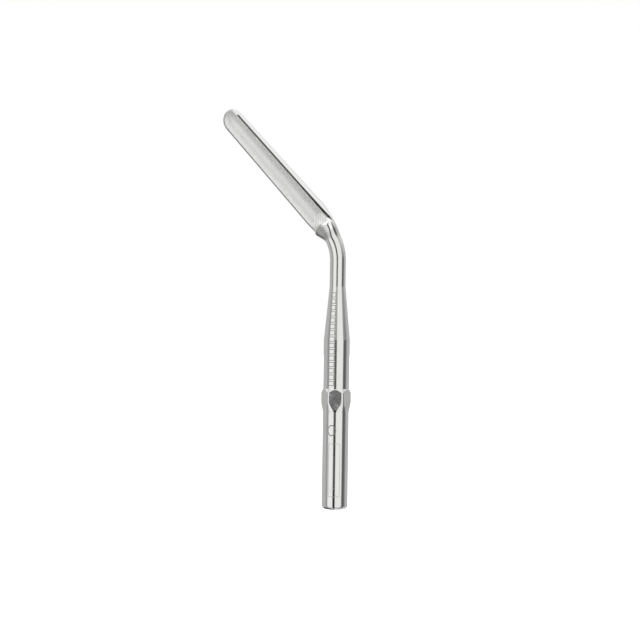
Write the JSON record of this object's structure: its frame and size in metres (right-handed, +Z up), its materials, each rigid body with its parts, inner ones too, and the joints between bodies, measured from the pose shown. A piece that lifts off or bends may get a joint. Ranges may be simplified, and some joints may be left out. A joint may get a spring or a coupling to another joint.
{
  "type": "dental elevator tip",
  "caption": "Exchangeable dental elevator tip: half-round gouge blade on a bent round neck, tapered shank, hexagonal collar and plain round tang.",
  "frame": {"origin": "centre of the tang's flat end face", "axes": "+Z runs up the shank to the neck, the blade leans to -X, and one flat of the collar faces -Y"},
  "size_m": [0.0305, 0.0065, 0.0917],
  "materials": {
    "polished_steel": "hand-polished stainless steel, near mirror with fine polishing lines",
    "ground_steel": "turned and milled stainless steel, fine tool marks left on the flats"
  },
  "bodies": {
    "root": {"gouge_blade": "polished_steel", "bent_neck": "polished_steel", "taper_shank": "polished_steel", "hex_collar": "ground_steel", "tang": "polished_steel"}
  },
  "joints": []
}
